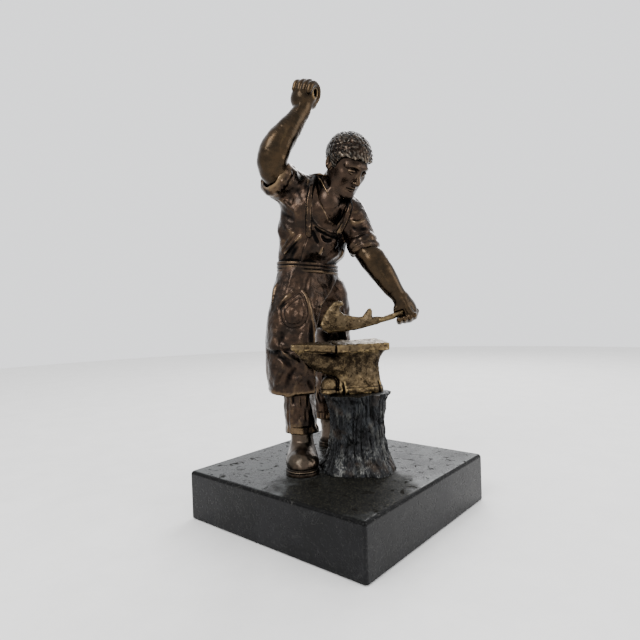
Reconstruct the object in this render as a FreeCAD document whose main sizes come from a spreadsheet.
"""Cast metal statuette of a smith at an anvil, on a black marble block.

The marble block lies on a thin felt sheet. A stump casting and two boot castings stand on the block, and
threaded rods hold them down from below: nuts and washers sit in counterbores under the block. One long rod
runs through the hollow stump into the anvil. The smith is a stack of castings that meet at garment edges
(trouser hems, waist, collar, sleeve cuffs) and is located there by plain pins.

Millimetres, +Z up, origin at the centre of the underside. The group of castings has a frame of its own:
its origin is at the centre of the block's top, and it is turned about Z by figure_turn. In that frame the
smith looks towards -Y, and his right arm is on the -X side.
"""

import FreeCAD, Part
import math
import os

from FreeCAD import Placement, Rotation, Vector

SIZES = {
    # block and felt
    "base_width": 150, "base_depth": 150, "base_thick": 33, "base_corner": 2, "base_arris": 2.5,
    "felt_thick": 1, "felt_inset": 3,
    # how the group of castings stands on the block
    "figure_turn": 40.1, "figure_scale": 1, "body_turn": 28,
    # stump
    "stump_foot": 25.5, "stump_waist": 19.3, "stump_top": 21.5, "stump_wall": 3, "stump_lid": 8,
    # anvil: it stands on the stump, anvil_clear in front of the apron
    "anvil_clear": 1.4, "anvil_aside": 19.7, "anvil_turn": 17,
    "anvil_level": 86.5, "anvil_tall": 34, "face_length": 39.2, "face_width": 22,
    "face_thick": 5.4, "face_ahead": 2.1, "horn_length": 28.3, "horn_rise": 0.8, "waist_length": 31,
    "waist_width": 14, "foot_length": 37, "foot_width": 24, "foot_thick": 4.5,
    # forging held over the anvil
    "forging_thick": 5, "forging_y": -13, "bar_dia": 4.4,
    # garments
    "apron_wall": 2.2, "apron_gap": 0.5, "apron_depth": 22,
    # fasteners, counterbores and pins
    "rod_dia": 5, "boot_stud_dia": 4, "hole_play": 0.5, "thread_depth": 11,
    "rod_nut_flats": 8, "rod_nut_tall": 4, "rod_washer_dia": 15, "stud_nut_flats": 7, "stud_nut_tall": 3.2,
    "stud_washer_dia": 12, "washer_thick": 1, "bore_deep": 11, "bore_play": 1.5, "rod_proud": 1.5,
    "neck_pin_dia": 4, "arm_pin_dia": 4, "waist_pin_dia": 6, "ankle_pin_dia": 4, "pin_play": 0.05,
    "pin_length": 14, "grip_bore_dia": 4,
}

doc = FreeCAD.newDocument("statuette")
sheet = doc.addObject("Spreadsheet::Sheet", "Sizes")
for row, (alias, value) in enumerate(SIZES.items(), 1):
    sheet.set(f"A{row}", alias)
    sheet.set(f"B{row}", str(value))
    sheet.setAlias(f"B{row}", alias)
doc.recompute()

NODES = []


def size(alias):
    """The value of one cell of the sheet, in millimetres or degrees."""
    return float(getattr(sheet, alias))


SCALE = size("figure_scale")
BLOCK_TOP = size("felt_thick") + size("base_thick")
TURN = Rotation(Vector(0, 0, 1), size("figure_turn"))
GROUP = Placement(Vector(0, 0, BLOCK_TOP), TURN)
TOP_CELLS = "Sizes.felt_thick + Sizes.base_thick"


def at(x, y, z):
    """A point of the group's frame, at the sculptor's scale."""
    return Vector(x, y, z) * SCALE


def node(obj, label):
    """Names one sub-part: its label is its file's name."""
    obj.Label = label
    NODES.append(obj)
    return obj


def casting(label, shape):
    """A casting whose shape is worked out in the group's frame, stood on the block."""
    obj = doc.addObject("Part::Feature", label)
    obj.Shape = shape
    obj.Placement = GROUP.multiply(shape.Placement)
    return node(obj, label)


# ---- loft helpers ---------------------------------------------------------------------------------------

RING_POINTS = 16


def ring(centre, rx, ry, turn=0.0, tilt=None, square=2.0, flat_back=1.0):
    """A closed smooth wire: a superellipse of half-widths rx and ry round centre, turned about its own axis.

    tilt is the direction of that axis, +Z if left out. square above 2 gives fuller corners.
    """
    frame = facing(tilt) if tilt is not None else Rotation()
    spin = Rotation(Vector(0, 0, 1), turn)
    points = []
    for k in range(RING_POINTS):
        a = 2 * math.pi * k / RING_POINTS
        c, s = math.cos(a), math.sin(a)
        x = rx * math.copysign(abs(c) ** (2 / square), c)
        y = ry * math.copysign(abs(s) ** (2 / square), s)
        if y > 0:
            y *= flat_back
        flat = spin.multVec(Vector(x, y, 0) * SCALE)
        points.append(centre + frame.multVec(flat))
    curve = Part.BSplineCurve()
    curve.interpolate(points, PeriodicFlag=True)
    return Part.Wire([curve.toShape()])


def facing(along):
    """The turn that takes +Z to a direction and keeps +Y as near to itself as it can."""
    return Rotation(Vector(), Vector(0, 1, 0), Vector(along), "ZYX")


def loft(wires):
    """A closed solid through the wires."""
    solid = Part.makeLoft(wires, True, False)
    if solid.Volume < 0:
        solid.reverse()
    return solid


def stack(sections, turn=0.0, square=2.0, grow=0.0, flat_back=1.0):
    """A solid through level sections (z, x, y, rx, ry); grow makes every half-width larger."""
    return loft([
        ring(at(x, y, z), rx + grow, ry + grow, turn, square=square, flat_back=flat_back)
        for z, x, y, rx, ry in sections
    ])


def limb(points):
    """A solid along points (x, y, z, radius across, radius front to back), its sections square to the run."""
    wires = []
    for k, (x, y, z, rx, ry) in enumerate(points):
        before = points[max(k - 1, 0)]
        after = points[min(k + 1, len(points) - 1)]
        along = Vector(after[0] - before[0], after[1] - before[1], after[2] - before[2])
        wires.append(ring(at(x, y, z), rx, ry, tilt=along))
    return loft(wires)


def drill(centre, along, diameter, length, play="pin_play"):
    """A cylinder centred on a point, for a hole that takes a pin."""
    direction = Vector(along).normalize()
    start = centre - direction * (length / 2)
    return Part.makeCylinder(diameter / 2 + size(play), length, start, direction)


def pin_shape(centre, along, diameter, length):
    """A plain pin, centred on the joint that it locates."""
    direction = Vector(along).normalize()
    return Part.makeCylinder(diameter / 2, length, centre - direction * (length / 2), direction)


# ---- the smith's landmarks, in the group's frame ----------------------------------------------------------

APRON_CENTRE = (-21, 10)
WAIST = at(-18.5, 16, 143)
NECK = at(-2.5, 4, 198)
NECK_LEAN = Vector(14, -9, 24)
RIGHT_CUFF = at(-37, -5, 206)
LEFT_CUFF = at(22, 0.5, 154)
RIGHT_HEM = at(-26, -2, 24)
LEFT_HEM = at(-4.2, 46, 24)
GRIP = at(-15, -10, 259.5)
GRIP_ALONG = Vector(10, -6, -2)
HAND = at(50, -9, 107)
BAR_END = at(46.5, -11.2, 106.6)
RIGHT_SOLE = at(-26, -12, 0)
LEFT_SOLE = at(4, 42, 0)
RIGHT_TOE_TURN = 2
LEFT_TOE_TURN = 62

WAIST_SECTION = (22.5, 16.5)
HEM_RADIUS = 11.0
UP = Vector(0, 0, 1)


def pin_hole(place, along, diameter_cell):
    """The drilled hole for a locating pin at a joint."""
    return drill(place, along, size(diameter_cell), size("pin_length") + 1)


# ---- felt and block ---------------------------------------------------------------------------------------

def rectangle(body, name, plane, width, depth):
    """A sketch of a rectangle centred on the body's origin, its sides bound to two cells' expressions."""
    sketch = body.newObject("Sketcher::SketchObject", name)
    sketch.AttachmentSupport = (plane_of(body, plane), [""])
    sketch.MapMode = "FlatFace"
    corners = [Vector(-1, -1, 0), Vector(1, -1, 0), Vector(1, 1, 0), Vector(-1, 1, 0)]
    for k in range(4):
        sketch.addGeometry(Part.LineSegment(corners[k] * 10, corners[(k + 1) % 4] * 10), False)
    import Sketcher
    for k in range(4):
        sketch.addConstraint(Sketcher.Constraint("Coincident", k, 2, (k + 1) % 4, 1))
    for k in (0, 2):
        sketch.addConstraint(Sketcher.Constraint("Horizontal", k))
    for k in (1, 3):
        sketch.addConstraint(Sketcher.Constraint("Vertical", k))
    sketch.addConstraint(Sketcher.Constraint("Symmetric", 0, 1, 1, 2, -1, 1))
    wide = sketch.addConstraint(Sketcher.Constraint("DistanceX", 0, 1, 0, 2, 20))
    deep = sketch.addConstraint(Sketcher.Constraint("DistanceY", 1, 1, 1, 2, 20))
    sketch.setExpression(f"Constraints[{wide}]", width)
    sketch.setExpression(f"Constraints[{deep}]", depth)
    return sketch


def plane_of(body, role):
    """One of a body's own origin planes, by its role."""
    return [f for f in body.Origin.OriginFeatures if f.Role == role][0]


def make_felt():
    """The felt sheet under the block, set in a little from its edges."""
    felt = doc.addObject("Part::Box", "felt_sheet")
    for side, cells in (("Length", "base_width"), ("Width", "base_depth")):
        felt.setExpression(side, f"Sizes.{cells} - 2 * Sizes.felt_inset")
    felt.setExpression("Height", "Sizes.felt_thick")
    felt.setExpression("Placement.Base.x", "-(Sizes.base_width - 2 * Sizes.felt_inset) / 2")
    felt.setExpression("Placement.Base.y", "-(Sizes.base_depth - 2 * Sizes.felt_inset) / 2")
    return node(felt, "felt_sheet")


def make_block(holes):
    """The marble block: a pad with eased edges, cut by a counterbored hole for each rod and stud."""
    body = doc.addObject("PartDesign::Body", "block_body")
    sketch = rectangle(body, "block_outline", "XY_Plane", "Sizes.base_width", "Sizes.base_depth")
    pad = body.newObject("PartDesign::Pad", "block_pad")
    pad.Profile = sketch
    pad.setExpression("Length", "Sizes.base_thick")
    doc.recompute()
    upright = edges_where(pad.Shape, lambda e: abs(e.tangentAt(e.FirstParameter).z) > 0.9)
    corners = body.newObject("PartDesign::Fillet", "block_corners")
    corners.Base = (pad, upright)
    corners.setExpression("Radius", "Sizes.base_corner")
    doc.recompute()
    top = size("base_thick")
    rim = edges_where(corners.Shape, lambda e: abs(e.BoundBox.ZMin - top) < 1e-3)
    arris = body.newObject("PartDesign::Fillet", "block_arris")
    arris.Base = (corners, rim)
    arris.setExpression("Radius", "Sizes.base_arris")
    body.Tip = arris
    doc.recompute()
    cutters = []
    for k, (place, hole_cells, bore_cells) in enumerate(holes):
        for kind, cells, deep in (("hole", hole_cells, "Sizes.base_thick"), ("bore", bore_cells, "Sizes.bore_deep")):
            cutter = doc.addObject("Part::Cylinder", f"block_{kind}_{k}")
            cutter.setExpression("Radius", cells)
            cutter.setExpression("Height", deep)
            cutter.Placement = Placement(Vector(place.x, place.y, 0), Rotation())
            cutters.append(cutter)
    tools = doc.addObject("Part::MultiFuse", "block_cutters")
    tools.Shapes = cutters
    block = doc.addObject("Part::Cut", "marble_base")
    block.Base = body
    block.Tool = tools
    block.setExpression("Placement.Base.z", "Sizes.felt_thick")
    return node(block, "marble_base")


def edges_where(shape, test):
    """The names of a shape's edges that pass a test."""
    return [f"Edge{k}" for k, e in enumerate(shape.Edges, 1) if test(e)]


def on_block(point):
    """Where a point of the group's frame is over the block."""
    return GROUP.multVec(point)


# ---- rods, studs, nuts and washers ------------------------------------------------------------------------

def make_rod(label, place, dia_cell, top_z):
    """A threaded rod as its plain outside cylinder, from just proud of its nut up to top_z."""
    rod = doc.addObject("Part::Cylinder", label)
    rod.setExpression("Radius", f"Sizes.{dia_cell} / 2")
    low = nut_low(dia_cell) - size("rod_proud")
    rod.Height = top_z - low
    rod.Placement = Placement(Vector(place.x, place.y, low), Rotation())
    return rod


def nut_low(dia_cell):
    """The underside of the nut: below the washer that bears on the counterbore's floor."""
    nut_tall = "rod_nut_tall" if dia_cell == "rod_dia" else "stud_nut_tall"
    return size("felt_thick") + size("bore_deep") - size("washer_thick") - size(nut_tall)


def make_nut(label, place, dia_cell, flats_cell, tall_cell):
    """A hexagon nut: a pad of a polygon with the rod's clearance through it."""
    hexagon = doc.addObject("Part::Prism", label + "_hexagon")
    hexagon.Polygon = 6
    hexagon.setExpression("Circumradius", f"Sizes.{flats_cell} / sqrt(3)")
    hexagon.setExpression("Height", f"Sizes.{tall_cell}")
    hole = doc.addObject("Part::Cylinder", label + "_thread")
    hole.setExpression("Radius", f"Sizes.{dia_cell} / 2 + Sizes.pin_play")
    hole.setExpression("Height", f"Sizes.{tall_cell}")
    nut = doc.addObject("Part::Cut", label)
    nut.Base, nut.Tool = hexagon, hole
    nut.Placement = Placement(Vector(place.x, place.y, nut_low(dia_cell)), Rotation())
    return nut


def make_washer(label, place, dia_cell, outer_cell):
    """A flat washer against the counterbore's floor."""
    disc = doc.addObject("Part::Cylinder", label + "_disc")
    disc.setExpression("Radius", f"Sizes.{outer_cell} / 2")
    disc.setExpression("Height", "Sizes.washer_thick")
    hole = doc.addObject("Part::Cylinder", label + "_hole")
    hole.setExpression("Radius", f"(Sizes.{dia_cell} + Sizes.hole_play) / 2")
    hole.setExpression("Height", "Sizes.washer_thick")
    washer = doc.addObject("Part::Cut", label)
    washer.Base, washer.Tool = disc, hole
    low = size("felt_thick") + size("bore_deep") - size("washer_thick")
    washer.Placement = Placement(Vector(place.x, place.y, low), Rotation())
    return washer


def group(label, objects):
    """Several separate identical pieces in one node."""
    pair = doc.addObject("Part::Compound", label)
    pair.Links = objects
    return node(pair, label)


def make_fasteners(rod_place, stud_places):
    """The stump's rod, nut and washer, and the boots' studs, nuts and washers."""
    anvil_low = BLOCK_TOP + (size("anvil_level") - size("anvil_tall")) * SCALE
    node(make_rod("stump_rod", rod_place, "rod_dia", anvil_low + size("thread_depth")), "stump_rod")
    node(make_nut("stump_nut", rod_place, "rod_dia", "rod_nut_flats", "rod_nut_tall"), "stump_nut")
    node(make_washer("stump_washer", rod_place, "rod_dia", "rod_washer_dia"), "stump_washer")
    tops = BLOCK_TOP + size("thread_depth")
    sides = list(enumerate(stud_places))
    group("boot_studs", [make_rod(f"boot_stud_{k}", p, "boot_stud_dia", tops) for k, p in sides])
    group("boot_nuts", [
        make_nut(f"boot_nut_{k}", p, "boot_stud_dia", "stud_nut_flats", "stud_nut_tall") for k, p in sides])
    group("boot_washers", [
        make_washer(f"boot_washer_{k}", p, "boot_stud_dia", "stud_washer_dia") for k, p in sides])


# ---- stump ------------------------------------------------------------------------------------------------

def stump_centre(z=0.0):
    """The stump's axis at a height over the block: in front of the apron, to the smith's left."""
    square_on = Rotation(UP, size("body_turn"))
    ahead = size("apron_depth") + size("anvil_clear") + max(size("face_width"), size("foot_width")) / 2
    step = square_on.multVec(Vector(size("anvil_aside"), -ahead, 0))
    return (Vector(*APRON_CENTRE, 0) + step) * SCALE + Vector(0, 0, z)


def make_stump():
    """The tree-stump casting: a flared shell, open below, with a thick lid that the rod passes through."""
    tall = (size("anvil_level") - size("anvil_tall")) * SCALE
    wall = size("stump_wall")
    foot, waist, top = size("stump_foot"), size("stump_waist"), size("stump_top")
    profile = [(0, foot), (0.12, foot - 2), (0.35, waist + 0.8), (0.6, waist), (1, top)]

    def shell(inset, low, high):
        lo, hi = low, high
        rings = []
        for share, radius in profile:
            z = lo + (hi - lo) * share
            r = radius - inset / SCALE
            rings.append(ring(stump_centre(z), r, r))
        return loft(rings)

    outside = shell(0, 0, tall)
    hollow = shell(wall, -0.001, tall).common(
        Part.makeBox(200, 200, tall - size("stump_lid"), stump_centre() - Vector(100, 100, 0)))
    bore = Part.makeCylinder(size("rod_dia") / 2 + size("hole_play") / 2, tall + 2, stump_centre(-1), UP)
    return casting("stump", outside.cut(hollow).cut(bore))


# ---- anvil ------------------------------------------------------------------------------------------------

def anvil_place():
    """The anvil's frame: origin on the stump's axis at the anvil's underside, +X towards its heel."""
    tall = (size("anvil_level") - size("anvil_tall")) * SCALE
    return Placement(stump_centre(tall), Rotation(UP, size("anvil_turn")))


def slab(length, width, low, high, shift=0.0):
    """A box centred on the anvil's length and width, shifted along its length."""
    box = Part.makeBox(length, width, high - low, Vector(shift - length / 2, -width / 2, low))
    return box


def plate(length, width, z, shift=0.0):
    """A rectangular wire at a height, for the anvil's waist."""
    x, y = length / 2, width / 2
    corners = [Vector(shift - x, -y, z), Vector(shift + x, -y, z), Vector(shift + x, y, z), Vector(shift - x, y, z)]
    return Part.makePolygon(corners + corners[:1])


# share of the horn's length, half width as a share of the face's width, depth
HORN_RINGS = [(-0.35, 0.4, 21), (0, 0.41, 20.5), (0.25, 0.34, 19), (0.42, 0.28, 16.2), (0.61, 0.22, 11.6),
              (0.85, 0.14, 6.4), (1, 0.1, 4.4)]


def make_anvil():
    """The anvil casting: foot, narrow waist, face and horn, with a tapped hole for the stump's rod."""
    tall = size("anvil_tall") * SCALE
    face_l, face_w = size("face_length") * SCALE, size("face_width") * SCALE
    face_t = size("face_thick") * SCALE
    foot_l, foot_w, foot_t = size("foot_length") * SCALE, size("foot_width") * SCALE, size("foot_thick") * SCALE
    waist_l, waist_w = size("waist_length") * SCALE, size("waist_width") * SCALE
    ahead = size("face_ahead") * SCALE
    underside = tall - face_t
    face = slab(face_l, face_w, underside, tall, ahead)
    foot = slab(foot_l, foot_w, 0, foot_t)
    middle = foot_t + (underside - foot_t) * 0.55
    lower = Part.makeLoft([plate(foot_l, foot_w, foot_t), plate(waist_l, waist_w, middle)], True, True)
    upper = Part.makeLoft(
        [plate(waist_l, waist_w, middle), plate(face_l - 2 * face_t * 0.6, face_w * 0.8, underside, ahead)], True, True)
    root_x = ahead - face_l / 2
    horn_l = size("horn_length") * SCALE
    rise = size("horn_rise") * SCALE
    rings = []
    for share, across, deep in HORN_RINGS:
        deep = deep * SCALE
        horn_top = tall - 0.4 * SCALE + rise * share
        x = root_x - horn_l * share
        rings.append(horn_ring(x, face_w * across, deep / 2, horn_top - deep / 2))
    horn = loft(rings)
    body = face.fuse([foot, lower, upper, horn]).removeSplitter()
    hole = Part.makeCylinder(size("rod_dia") / 2 + size("pin_play"), size("thread_depth") + 1, Vector(0, 0, 0), UP)
    body = body.cut(hole)
    body.Placement = anvil_place()
    return casting("anvil", body)


def horn_ring(x, half_wide, half_deep, z):
    """One upright section of the horn, square to the anvil's length."""
    points = []
    for k in range(RING_POINTS):
        a = 2 * math.pi * k / RING_POINTS
        c, s = math.cos(a), math.sin(a)
        y = half_wide * math.copysign(abs(c) ** 0.7, c)
        up = half_deep * math.copysign(abs(s) ** 0.7, s)
        points.append(Vector(x, y, z + up))
    curve = Part.BSplineCurve()
    curve.interpolate(points, PeriodicFlag=True)
    return Part.Wire([curve.toShape()])


# ---- forging ----------------------------------------------------------------------------------------------

FORGING_EDGE = [
    (-5.4, 93.9), (-9.2, 96.0), (-10.6, 100.2), (-8.4, 105.5), (-5.2, 110.6), (-1.0, 115.2), (2.2, 116.0),
    (5.4, 114.9), (5.3, 112.6), (2.9, 110.6), (3.5, 108.2), (7.0, 106.0), (12.0, 104.9), (18.6, 104.3),
    (21.0, 107.2), (23.4, 109.6), (25.2, 109.0), (25.8, 103.6), (28.0, 103.2), (28.0, 98.8), (22.0, 97.0),
    (11.5, 94.9), (2.0, 94.1),
]


def make_forging():
    """The work held over the anvil: a flat blade with a hooked tip and a spur, drawn out into a round bar."""
    half = size("forging_thick") / 2 * SCALE
    y = size("forging_y") * SCALE
    points = [Vector(x * SCALE, y - half, z * SCALE) for x, z in FORGING_EDGE]
    blade = Part.Face(Part.makePolygon(points + points[:1])).extrude(Vector(0, 2 * half, 0))
    start = Vector(20 * SCALE, y, 99.0 * SCALE)
    run = BAR_END - start
    bar = Part.makeCylinder(size("bar_dia") / 2 * SCALE, run.Length, start, run)
    return casting("forging", blade.fuse(bar).removeSplitter())


# ---- the smith --------------------------------------------------------------------------------------------

TORSO = [(143, -18.5, 16, *WAIST_SECTION), (151, -15.5, 14, 24.2, 18), (160, -14, 12.5, 25.2, 18.5),
         (172, -12.5, 11, 27, 18.5), (182, -11, 9.5, 27, 18), (190, -8.5, 8, 24.5, 16), (195.5, -6.5, 6.5, 18, 13),
         (198, -3.5, 4.5, 11, 9)]
SKIRT = [(53, *APRON_CENTRE, 30.5, size("apron_depth")), (66, *APRON_CENTRE, 31.3, size("apron_depth")),
         (88, -20.5, 11, 31.5, 21.8), (106, -20, 12.5, 31, 20.8), (120, -19, 14.5, 29, 19.3),
         (132, -18.5, 16, 25.5, 17.6), (143, -18.5, 16, 22.2, 16.2)]
APRON_EDGE = [(-15, 40), (-14.5, 93), (-9, 113.6), (4, 135.5), (6.5, 150), (80, 150), (80, 40)]
HIPS = [(100, -18, 17.5, 24, 13.5), (112, -18.2, 17.5, 26, 15.5), (124, -18.3, 17.8, 25.5, 15.5),
        (134, -18.5, 17, 22, 14.3), (143, -18.5, 16, 19, 13.2)]
RIGHT_LEG = [(-27, 14, 118, 11, 11), (-29, 8, 96, 12, 12), (-30, 1.5, 74, 11.3, 11.3), (-28.5, -0.5, 55, 10.6, 10.8),
             (-27, -1.5, 38, 11, 11), (-26, -2, 24, 11, 11)]
LEFT_LEG = [(-3, 22.5, 122, 13.5, 13), (-0.3, 25.5, 108, 13, 12.5), (-0.3, 30, 94, 12.8, 12),
            (-1.2, 36, 74, 12, 11.4), (-3, 42, 52, 11.8, 11.2),
            (-4.2, 45, 38, 11.8, 11.2), (-4.6, 46, 24, 12, 11.2)]
RIGHT_SLEEVE = [(-14, 10, 192, 15, 15), (-24, 8, 197, 14.5, 15), (-31, 1, 202, 14, 14.5), (-37, -5, 206, 14.2, 14.6)]
LEFT_SLEEVE = [(6, 8, 188, 11.5, 12), (14, 5, 180, 11.3, 12), (18.5, 3, 167, 10.8, 11.5), (22, 0.5, 154, 11.5, 11.8)]
RIGHT_FORE = [(-37, -5, 206, 10.5, 11), (-41, -10, 212, 10.5, 11), (-37, -12.5, 224, 9.8, 10.2),
              (-28, -12, 237, 7.4, 7.6), (-18.5, -10.5, 248, 5.4, 5.6), (-15.5, -10, 256, 6, 6.5)]
LEFT_FORE = [(22, 0.5, 154, 8.6, 9), (27.5, -3.5, 145, 8.8, 9), (35.4, -6.5, 133, 8, 8), (42, -8, 122, 6.2, 6.4),
             (46.8, -8.6, 115, 5.4, 6), (50, -9, 107, 6, 6)]
SKULL = [(-19.5, 7, 3.0, 4.0), (-17, 6, 7, 8), (-10, 3.5, 11.5, 13.5), (-2, 0.5, 14.5, 17.5), (6, -0.5, 16.5, 19.5),
         (12, 0, 15.8, 18.5), (17, 0.5, 11.5, 13.5), (20, 0.5, 4, 5)]
SKULL_PLACE = Placement(at(12, -6.5, 211), Rotation(UP, 36).multiply(Rotation(Vector(1, 0, 0), 28)))
BOOT = [(3, 0, -1, 10, 19.2), (7, 0, 1, 10.1, 17.8), (11, 0, 4, 9.5, 14.8), (16, 0, 7, 8.6, 11.6),
        (20, 0, 8.6, 8.4, 10), (24, 0, 9.2, 8.8, 9.6)]


def make_trousers():
    """Hips and both trouser legs in one casting, down to the turned hems."""
    hips = stack(HIPS, turn=size("body_turn"))
    shape = hips.fuse([level_limb(RIGHT_LEG), level_limb(LEFT_LEG)]).removeSplitter()
    for place, cell in ((RIGHT_HEM, "ankle_pin_dia"), (LEFT_HEM, "ankle_pin_dia"), (WAIST, "waist_pin_dia")):
        shape = shape.cut(pin_hole(place, UP, cell))
    return casting("trousers", shape)


def level_limb(points, grow=0.0):
    """A leg through level sections (x, y, z, rx, ry), so that both its ends are level."""
    return loft([ring(at(x, y, z), rx + grow, ry + grow) for x, y, z, rx, ry in points])


def make_apron():
    """The apron's skirt: a thin shell round the front and sides, open behind below the seat."""
    turn = size("body_turn")
    wall = size("apron_wall") / SCALE
    outer = stack(SKIRT, turn=turn)
    inner = stack(SKIRT, turn=turn, grow=-wall)
    shell = outer.cut(inner)
    gap = size("apron_gap") / SCALE
    for tool in (stack(HIPS, turn=turn, grow=gap), level_limb(RIGHT_LEG, gap), level_limb(LEFT_LEG, 2 * gap)):
        shell = largest(shell.cut(tool))
    behind = Part.makeBox(200, 100, 143 * SCALE, Vector(-100, 7 * SCALE, -1))
    behind.Placement = Placement(Vector(WAIST.x, WAIST.y, 0), Rotation(UP, turn)).multiply(behind.Placement)
    y = 100 * SCALE
    edge = [Vector(x * SCALE, -y, z * SCALE) for x, z in APRON_EDGE]
    beside = Part.Face(Part.makePolygon(edge + edge[:1])).extrude(Vector(0, 2 * y, 0))
    return casting("apron_skirt", largest(shell.cut([behind, beside])))


def largest(shape):
    """The biggest solid of a shape, without the crumbs of a cut."""
    return max(shape.Solids, key=lambda s: s.Volume)


def make_torso():
    """Shirt and bib in one casting, with both short rolled sleeves."""
    shape = shirt()
    shape = shape.cut(pin_hole(WAIST, UP, "waist_pin_dia"))
    shape = shape.cut(pin_hole(NECK, NECK_LEAN, "neck_pin_dia"))
    shape = shape.cut(pin_hole(RIGHT_CUFF, cuff_way(RIGHT_SLEEVE), "arm_pin_dia"))
    shape = shape.cut(pin_hole(LEFT_CUFF, cuff_way(LEFT_SLEEVE), "arm_pin_dia"))
    return casting("torso", shape)


def shirt():
    """The trunk and both sleeves, before they are drilled."""
    return stack(TORSO, turn=14).fuse([limb(RIGHT_SLEEVE), limb(LEFT_SLEEVE)]).removeSplitter()


def cuff_way(points):
    """The direction in which a sleeve ends."""
    a, b = points[-2], points[-1]
    return Vector(b[0] - a[0], b[1] - a[1], b[2] - a[2])


def beyond(shape, place, way):
    """What is left of a shape past the plane square to way at place."""
    keep = Part.makeBox(300, 300, 300, Vector(-150, -150, 0))
    keep.Placement = Placement(place, facing(way))
    return largest(shape.common(keep))


def make_head():
    """Head and neck in one casting, from the shirt's collar up."""
    rings = []
    for up, ahead, rx, ry in SKULL:
        wire = ring(Vector(0, -ahead * SCALE, up * SCALE), rx, ry)
        wire.Placement = SKULL_PLACE
        rings.append(wire)
    skull = loft(rings)
    neck = limb([(-4.5, 5.5, 190, 8.5, 8.5), (-2.5, 4, 198, 8.2, 8.4), (3, 0, 205, 7.6, 8), (9, -4, 212, 7, 7)])
    shape = largest(above(skull.fuse(neck).removeSplitter(), NECK.z).cut(shirt()))
    return casting("head", shape.cut(pin_hole(NECK, NECK_LEAN, "neck_pin_dia")))


def above(shape, z):
    """What is left of a shape over a level."""
    keep = Part.makeBox(400, 400, 400, Vector(-200, -200, z))
    return largest(shape.common(keep))


def fist(centre, wide, deep, tall, way):
    """A closed hand: a block with generous fillets, standing along way."""
    box = Part.makeBox(wide, deep, tall, Vector(-wide / 2, -deep / 2, -tall / 2))
    box = box.makeFillet(min(wide, deep, tall) * 0.36, box.Edges)
    box.Placement = Placement(centre, facing(way))
    return box


def make_right_forearm():
    """Bare right forearm and raised fist; the fist is bored for a hammer's handle."""
    arm = beyond(limb(RIGHT_FORE), RIGHT_CUFF, cuff_way(RIGHT_SLEEVE))
    hand = fist(GRIP, 17.5 * SCALE, 16.5 * SCALE, 18 * SCALE, (0.1, 0, 1))
    shape = arm.fuse(hand).removeSplitter()
    shape = shape.cut(drill(GRIP, GRIP_ALONG, size("grip_bore_dia"), 40 * SCALE, play="zero_play"))
    shape = shape.cut(pin_hole(RIGHT_CUFF, cuff_way(RIGHT_SLEEVE), "arm_pin_dia"))
    return casting("right_forearm", shape)


def make_left_forearm():
    """Bare left forearm and the hand that holds the bar; the bar's end sits in a socket in the hand."""
    arm = beyond(limb(LEFT_FORE), LEFT_CUFF, cuff_way(LEFT_SLEEVE))
    hand = fist(HAND, 16.5 * SCALE, 15.5 * SCALE, 17 * SCALE, (0.35, 0, -1))
    shape = arm.fuse(hand).removeSplitter()
    start = Vector(20 * SCALE, size("forging_y") * SCALE, 99.0 * SCALE)
    run = BAR_END - start
    socket = Part.makeCylinder(size("bar_dia") / 2 * SCALE + size("pin_play"), run.Length, start, run)
    shape = shape.cut(socket)
    shape = shape.cut(pin_hole(LEFT_CUFF, cuff_way(LEFT_SLEEVE), "arm_pin_dia"))
    return casting("left_forearm", shape)


def make_boot(label, sole, turn, hem):
    """A boot casting: a sole plate and an upper that rises to the trouser hem, tapped below for its stud."""
    rings = []
    for z, x, y, rx, ry in BOOT:
        rings.append(boot_ring(sole, turn, hem, z, x, y, rx, ry))
    upper = loft(rings)
    outline = [boot_ring(sole, turn, hem, z, 0, -1, 10.8, 20) for z in (0, 3)]
    shape = Part.makeLoft(outline, True, True).fuse(upper).removeSplitter()
    stud = sole + Vector(0, 0, 0)
    tapped = Part.makeCylinder(
        size("boot_stud_dia") / 2 + size("pin_play"), size("thread_depth") + 1, stud, UP)
    shape = shape.cut(tapped)
    shape = shape.cut(pin_hole(hem, UP, "ankle_pin_dia"))
    return casting(label, shape)


def boot_ring(sole, turn, hem, z, x, y, rx, ry):
    """A level section of a boot, toe towards -Y before it is turned; the top one is centred on the hem."""
    spin = Rotation(UP, turn)
    centre = sole + spin.multVec(Vector(x, y, 0) * SCALE) + Vector(0, 0, z * SCALE)
    if z == BOOT[-1][0]:
        centre = Vector(hem.x, hem.y, z * SCALE)
    return ring(centre, rx, ry, turn=turn, square=2.3)


def make_pin(label, places):
    """One node of plain pins: (place, way, diameter cell) for each."""
    solids = [pin_shape(p, way, size(cell), size("pin_length")) for p, way, cell in places]
    shape = solids[0] if len(solids) == 1 else Part.makeCompound(solids)
    return casting(label, shape)


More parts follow.
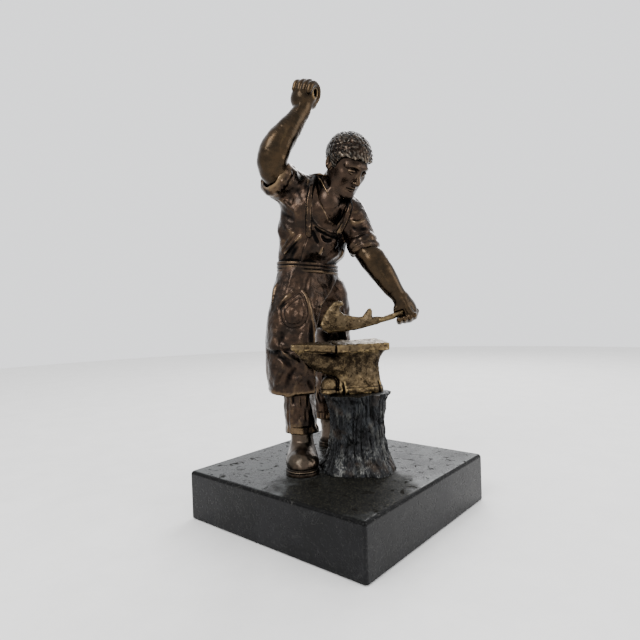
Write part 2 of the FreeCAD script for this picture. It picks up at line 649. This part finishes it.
# ---- build, check, write ------------------------------------------------------------------------------------

sheet.set(f"A{len(SIZES) + 1}", "zero_play")
sheet.set(f"B{len(SIZES) + 1}", "0")
sheet.setAlias(f"B{len(SIZES) + 1}", "zero_play")
doc.recompute()

rod_place = on_block(stump_centre())
stud_places = [on_block(RIGHT_SOLE), on_block(LEFT_SOLE)]
rod_cells = ("(Sizes.rod_dia + Sizes.hole_play) / 2", "Sizes.rod_washer_dia / 2 + Sizes.bore_play")
stud_cells = ("(Sizes.boot_stud_dia + Sizes.hole_play) / 2", "Sizes.stud_washer_dia / 2 + Sizes.bore_play")

make_felt()
make_block([(rod_place, *rod_cells)] + [(p, *stud_cells) for p in stud_places])
make_fasteners(rod_place, stud_places)
make_stump()
make_anvil()
make_forging()
make_trousers()
make_apron()
make_torso()
make_head()
make_right_forearm()
make_left_forearm()
make_boot("right_boot", RIGHT_SOLE, RIGHT_TOE_TURN, RIGHT_HEM)
make_boot("left_boot", LEFT_SOLE, LEFT_TOE_TURN, LEFT_HEM)
make_pin("waist_pin", [(WAIST, UP, "waist_pin_dia")])
make_pin("neck_pin", [(NECK, NECK_LEAN, "neck_pin_dia")])
make_pin("right_arm_pin", [(RIGHT_CUFF, cuff_way(RIGHT_SLEEVE), "arm_pin_dia")])
make_pin("left_arm_pin", [(LEFT_CUFF, cuff_way(LEFT_SLEEVE), "arm_pin_dia")])
make_pin("ankle_pins", [(RIGHT_HEM, UP, "ankle_pin_dia"), (LEFT_HEM, UP, "ankle_pin_dia")])

doc.recompute()
for obj in doc.Objects:
    if "Invalid" in obj.State or "Error" in obj.State:
        raise RuntimeError(f"{obj.Name} failed: {obj.State}")
os.makedirs("parts", exist_ok=True)
for obj in NODES:
    shape = obj.Shape
    if shape.isNull() or not shape.isValid() or not shape.Solids:
        raise RuntimeError(f"{obj.Label} has no valid solid")
    shape.exportStep(f"parts/{obj.Label}.step")
    print(f"{obj.Label:16s} solids {len(shape.Solids)} volume {shape.Volume / 1000:8.2f} cm3")
